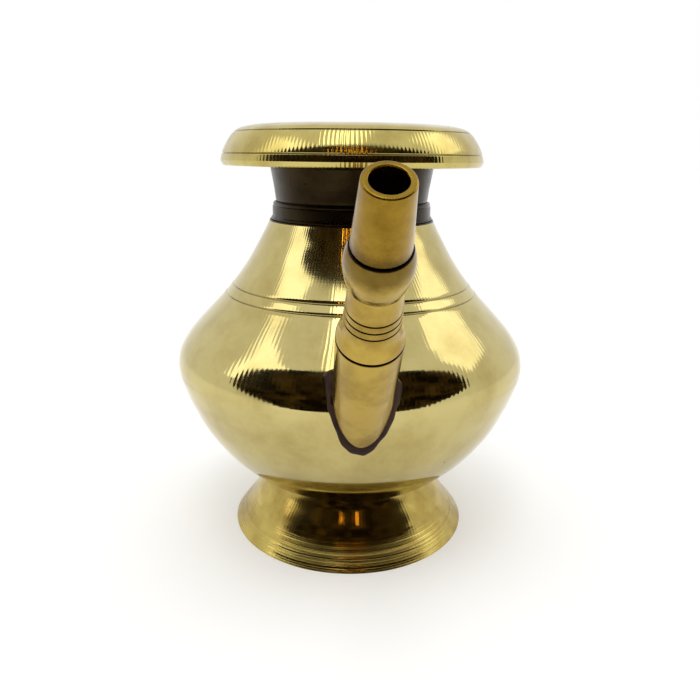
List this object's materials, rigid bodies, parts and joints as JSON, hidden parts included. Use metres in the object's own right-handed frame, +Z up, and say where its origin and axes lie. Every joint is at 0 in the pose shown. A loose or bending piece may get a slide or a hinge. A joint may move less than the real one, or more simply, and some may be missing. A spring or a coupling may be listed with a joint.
{
  "type": "spouted water pot",
  "caption": "Turned brass water pot: round belly on a flared foot, narrow dark neck under a wide saucer-shaped rim, and a straight slanting spout.",
  "frame": {"origin": "on the ground, under the middle of the plan's bounding box, in front of the pot's own axis", "axes": "+Z up; the spout points along -Y; X runs across the pot"},
  "size_m": [0.1286, 0.1838, 0.1502],
  "materials": {
    "polished_brass": "polished on a lathe, with fine chatter marks",
    "turned_brass": "satin from turning",
    "unpolished_brass": "dull, dark with age",
    "brazing_metal": "dull reddish brown"
  },
  "bodies": {
    "root": {"foot": "turned_brass", "foot_seam_braze": "brazing_metal", "lower_bowl": "polished_brass", "belly_seam_braze": "brazing_metal", "shoulder": "polished_brass", "neck_seam_braze": "brazing_metal", "neck": "unpolished_brass", "neck_band": "unpolished_brass", "rim_flange": "polished_brass", "rim_seam_braze": "brazing_metal", "spout_root_braze": "brazing_metal", "spout_sleeve": "turned_brass", "spout_stem": "turned_brass", "spout_bulb": "turned_brass", "spout_tip": "turned_brass"}
  },
  "joints": []
}
